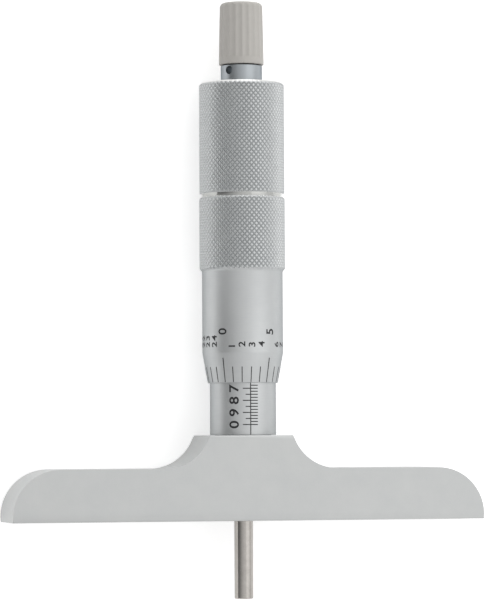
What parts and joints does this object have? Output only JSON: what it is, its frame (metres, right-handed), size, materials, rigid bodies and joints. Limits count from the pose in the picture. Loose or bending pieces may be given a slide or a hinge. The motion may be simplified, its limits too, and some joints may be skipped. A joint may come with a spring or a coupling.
{
  "type": "depth micrometer",
  "caption": "Depth micrometer on its back: T-shaped steel base, graduated sleeve and thimble, knurled clamp cap, fluted ratchet stop, round measuring rod.",
  "frame": {"origin": "centre of the base's reference face, on the spindle axis", "axes": "+Y along the spindle axis from the reference face towards the ratchet, +X along the base, +Z out of the graduated front; the instrument lies on its back"},
  "size_m": [0.1016, 0.1266, 0.0182],
  "materials": {
    "base_steel": "hardened steel, fine ground and satin plated",
    "satin_chrome": "satin chrome plating on turned steel",
    "lapped_steel": "ground and lapped round steel",
    "tool_steel": "turned alloy steel, bright",
    "collar_steel": "turned steel with a bluish satin finish",
    "ratchet_grey": "warm grey moulded sleeve, matt",
    "spring_steel": "spring wire"
  },
  "bodies": {
    "base_unit": {"base": "base_steel", "inner_sleeve": "tool_steel", "thread_adjusting_nut": "tool_steel"},
    "scale_sleeve": {"graduated_sleeve": "satin_chrome"},
    "rod_unit": {"measuring_rod": "lapped_steel", "rod_adjusting_nut": "tool_steel", "rod_lock_nut": "tool_steel"},
    "thimble_unit": {"spindle": "tool_steel", "thimble": "satin_chrome", "thimble_lock_nut": "tool_steel", "clamp_cap": "satin_chrome", "rod_spring_seat": "tool_steel", "rod_spring": "spring_steel", "ratchet_body": "collar_steel", "clutch_key_pin": "tool_steel", "ratchet_spring": "spring_steel", "clutch_ring": "tool_steel", "ratchet_washer": "tool_steel", "ratchet_screw": "tool_steel"},
    "ratchet_grip": {"ratchet_sleeve": "ratchet_grey"}
  },
  "joints": [
    {"name": "rod_travel", "type": "slide", "parent": "base_unit", "child": "rod_unit", "axis": [0, 1, 0], "range_m": [-0.00881, 0.01659]},
    {"name": "thimble_turn", "type": "hinge", "parent": "rod_unit", "child": "thimble_unit", "pos_m": [0, 0.05, 0], "axis": [0, 1, 0], "range_deg": [-4997, 9403.1]},
    {"name": "ratchet_overrun", "type": "hinge", "parent": "thimble_unit", "child": "ratchet_grip", "pos_m": [0, 0.1, 0], "axis": [0, 1, 0], "continuous": true},
    {"name": "sleeve_zero_adjust", "type": "hinge", "parent": "base_unit", "child": "scale_sleeve", "pos_m": [0, 0.03, 0], "axis": [0, 1, 0], "range_deg": [-12, 12]}
  ],
  "couplings": [
    {"joint": "thimble_turn", "follows": "rod_travel", "rad_per_m": 9894.8}
  ]
}
